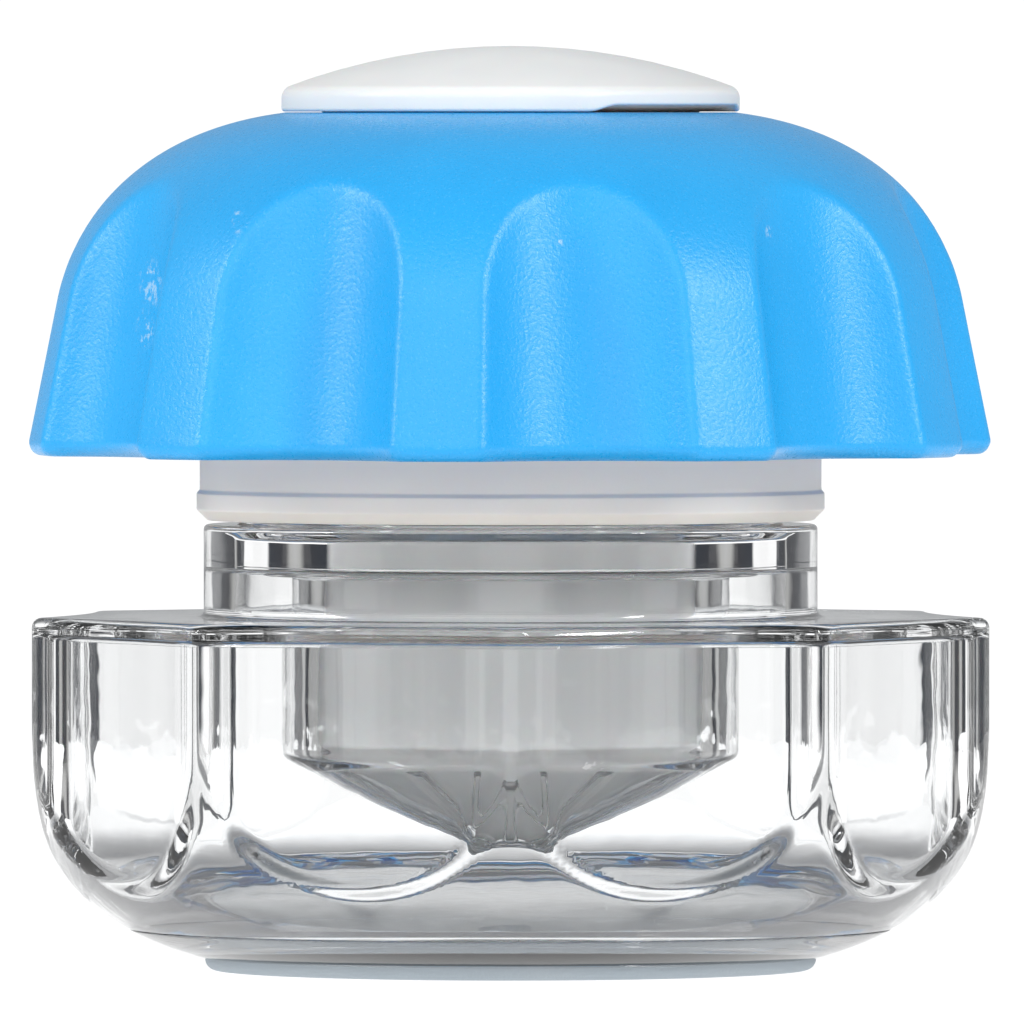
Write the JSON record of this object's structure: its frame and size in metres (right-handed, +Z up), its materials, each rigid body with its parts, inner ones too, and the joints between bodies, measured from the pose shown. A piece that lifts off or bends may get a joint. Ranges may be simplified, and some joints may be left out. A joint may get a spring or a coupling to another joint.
{
  "type": "pill crusher",
  "caption": "Screw-down pill crusher with a fluted blue knob, a white plunger in a clear ridged base, and a pill store under a snap lid.",
  "frame": {"origin": "centre of the foot pad's underside, on the screw axis", "axes": "+Z up along the screw axis towards the lid, -Y towards the front ridge of the base"},
  "size_m": [0.068, 0.0684, 0.0653],
  "materials": {
    "clear_plastic": "polished, water clear",
    "white_plastic": "satin moulded",
    "blue_plastic": "fine matt grain",
    "seal_rubber": "soft silicone",
    "foot_rubber": "matt"
  },
  "bodies": {
    "base": {"foot_pad": "foot_rubber", "base_bowl": "clear_plastic", "base_shell": "clear_plastic", "crushing_well": "clear_plastic"},
    "seal": {"seal_ring": "seal_rubber"},
    "top": {"threaded_collar": "white_plastic", "plunger": "white_plastic", "knob_shell": "blue_plastic", "storage_cup": "white_plastic"},
    "lid": {"lid": "white_plastic"}
  },
  "joints": [
    {"name": "top_rise", "type": "slide", "parent": "base", "child": "seal", "axis": [0, 0, 1], "range_m": [0, 0.0074]},
    {"name": "top_turn", "type": "hinge", "parent": "seal", "child": "top", "pos_m": [0, 0, 0.04], "axis": [0, 0, 1], "range_deg": [0, 440]},
    {"name": "lid_lift", "type": "slide", "parent": "top", "child": "lid", "axis": [0, 0, 1], "range_m": [0, 0.012]}
  ],
  "couplings": [
    {"joint": "top_rise", "follows": "top_turn", "m_per_rad": 0.00095493}
  ]
}
